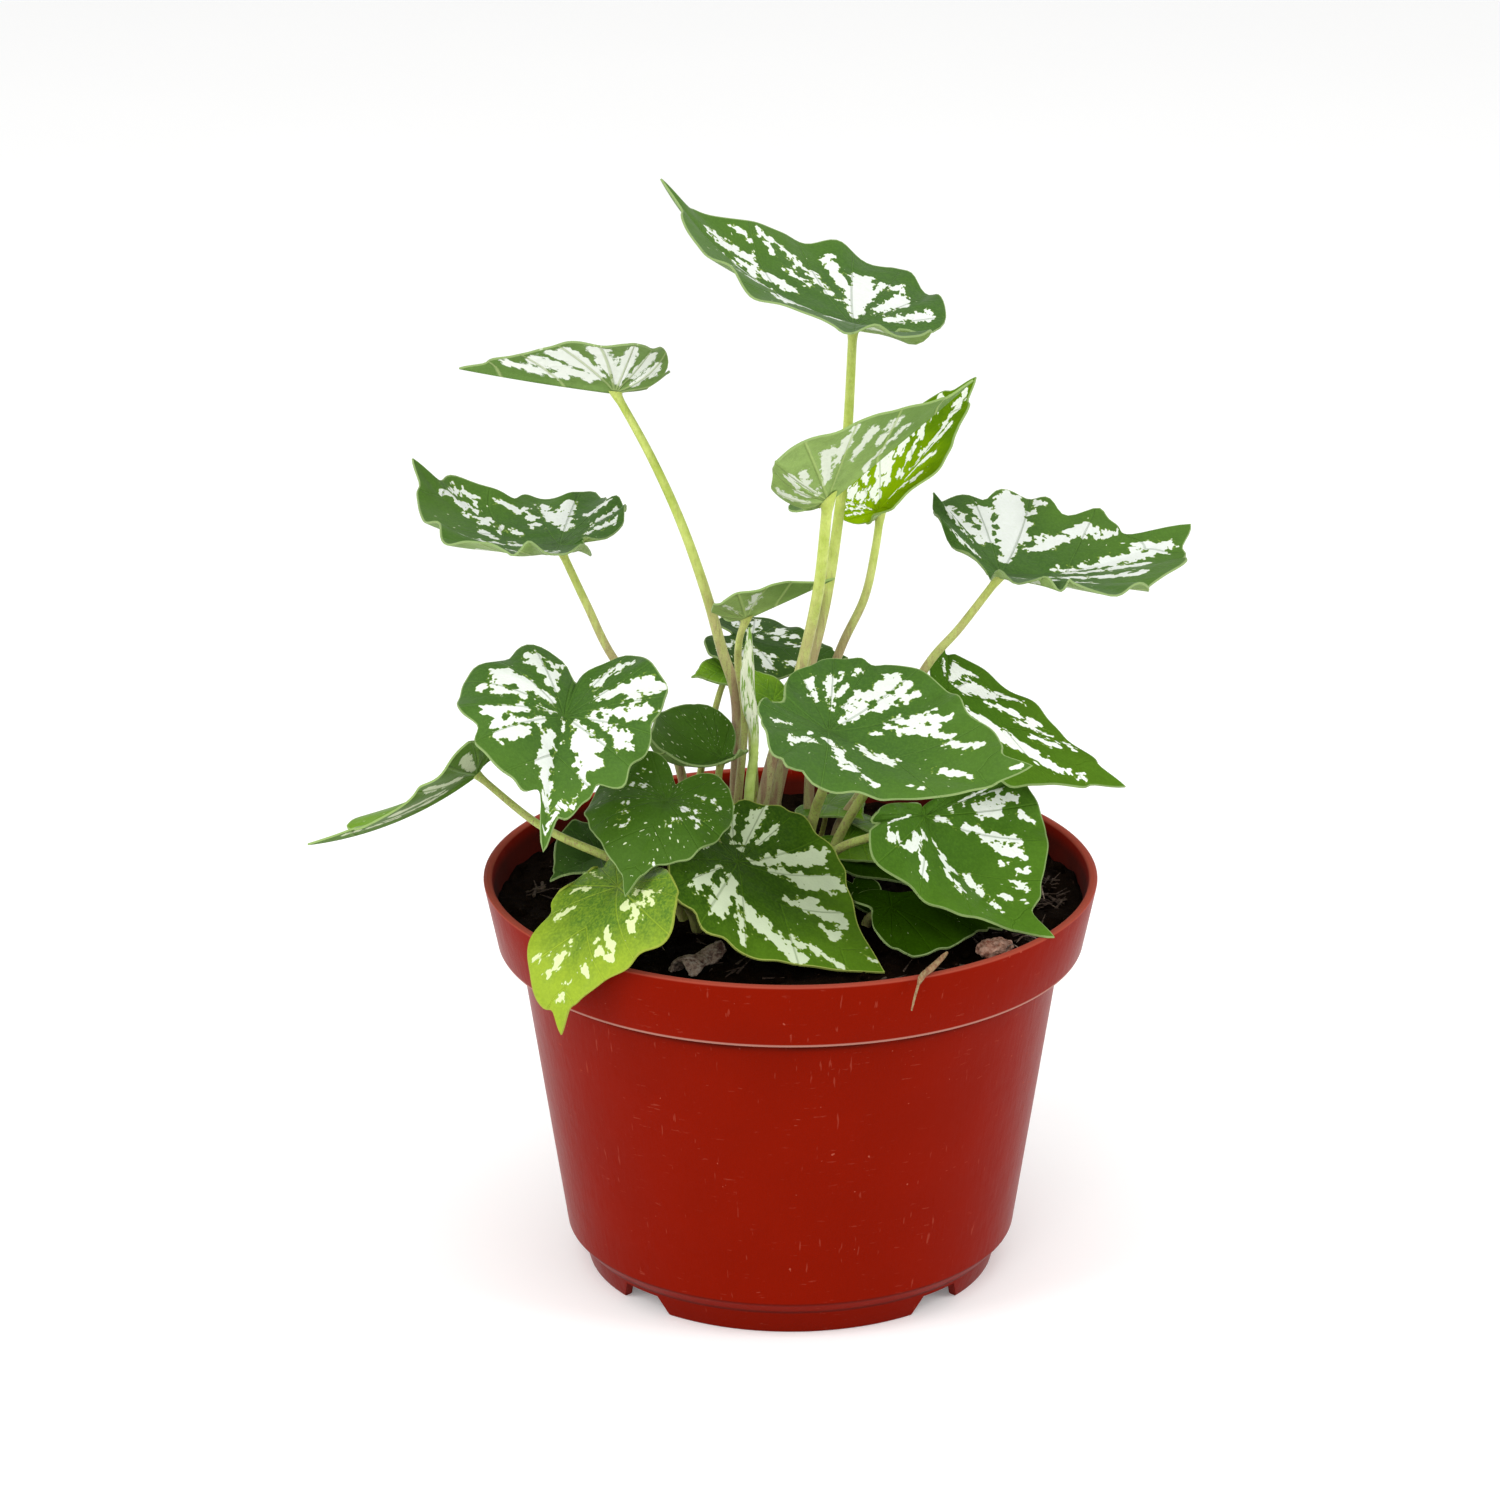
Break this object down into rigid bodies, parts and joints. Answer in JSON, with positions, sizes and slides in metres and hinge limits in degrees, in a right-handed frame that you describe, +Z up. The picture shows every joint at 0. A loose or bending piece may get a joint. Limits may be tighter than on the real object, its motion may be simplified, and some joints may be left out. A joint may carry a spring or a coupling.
{
  "type": "potted caladium",
  "caption": "Young caladium with heart-shaped, white-blotched green leaves on thin stalks, growing from dark potting soil in a round red-brown plastic nursery pot.",
  "frame": {"origin": "middle of the footprint, at the height of the pot's foot", "axes": "+Z up, and -Y towards the side that the picture shows"},
  "size_m": [0.2022, 0.14, 0.2514],
  "materials": {
    "pot_plastic": "satin moulded plastic, lightly scuffed",
    "peat_soil": "moist peat, near black",
    "leaf_green": "soft satin leaf with white blotches",
    "leaf_fresh_green": "soft satin young leaf",
    "leaf_yellow_green": "soft satin yellow-green leaf",
    "leaf_dark_green": "soft satin dark leaf",
    "stalk_green": "matte fleshy stalk",
    "bark_brown": "dry bark",
    "dry_straw": "dry straw"
  },
  "bodies": {
    "root": {"pot": "pot_plastic", "soil": "peat_soil", "leaf_01_blade": "leaf_green", "leaf_01_stalk": "stalk_green", "leaf_02_blade": "leaf_green", "leaf_02_stalk": "stalk_green", "leaf_03_blade": "leaf_green", "leaf_03_stalk": "stalk_green", "leaf_04_blade": "leaf_fresh_green", "leaf_04_stalk": "stalk_green", "leaf_05_blade": "leaf_yellow_green", "leaf_05_stalk": "stalk_green", "leaf_06_blade": "leaf_green", "leaf_06_stalk": "stalk_green", "leaf_07_blade": "leaf_green", "leaf_07_stalk": "stalk_green", "leaf_08_blade": "leaf_green", "leaf_08_stalk": "stalk_green", "leaf_09_blade": "leaf_dark_green", "leaf_09_stalk": "stalk_green", "leaf_10_blade": "leaf_green", "leaf_10_stalk": "stalk_green", "leaf_11_blade": "leaf_yellow_green", "leaf_11_stalk": "stalk_green", "leaf_12_blade": "leaf_dark_green", "leaf_12_stalk": "stalk_green", "leaf_13_blade": "leaf_green", "leaf_13_stalk": "stalk_green", "leaf_14_blade": "leaf_green", "leaf_14_stalk": "stalk_green", "leaf_15_blade": "leaf_green", "leaf_15_stalk": "stalk_green", "leaf_16_blade": "leaf_green", "leaf_16_stalk": "stalk_green", "leaf_17_blade": "leaf_dark_green", "leaf_17_stalk": "stalk_green", "leaf_18_blade": "leaf_fresh_green", "leaf_18_stalk": "stalk_green", "leaf_19_blade": "leaf_dark_green", "leaf_19_stalk": "stalk_green", "leaf_20_blade": "leaf_fresh_green", "leaf_20_stalk": "stalk_green", "leaf_21_blade": "leaf_fresh_green", "leaf_21_stalk": "stalk_green", "young_leaf_rolled": "leaf_fresh_green", "bark_1": "bark_brown", "bark_2": "bark_brown", "straw": "dry_straw"}
  },
  "joints": []
}
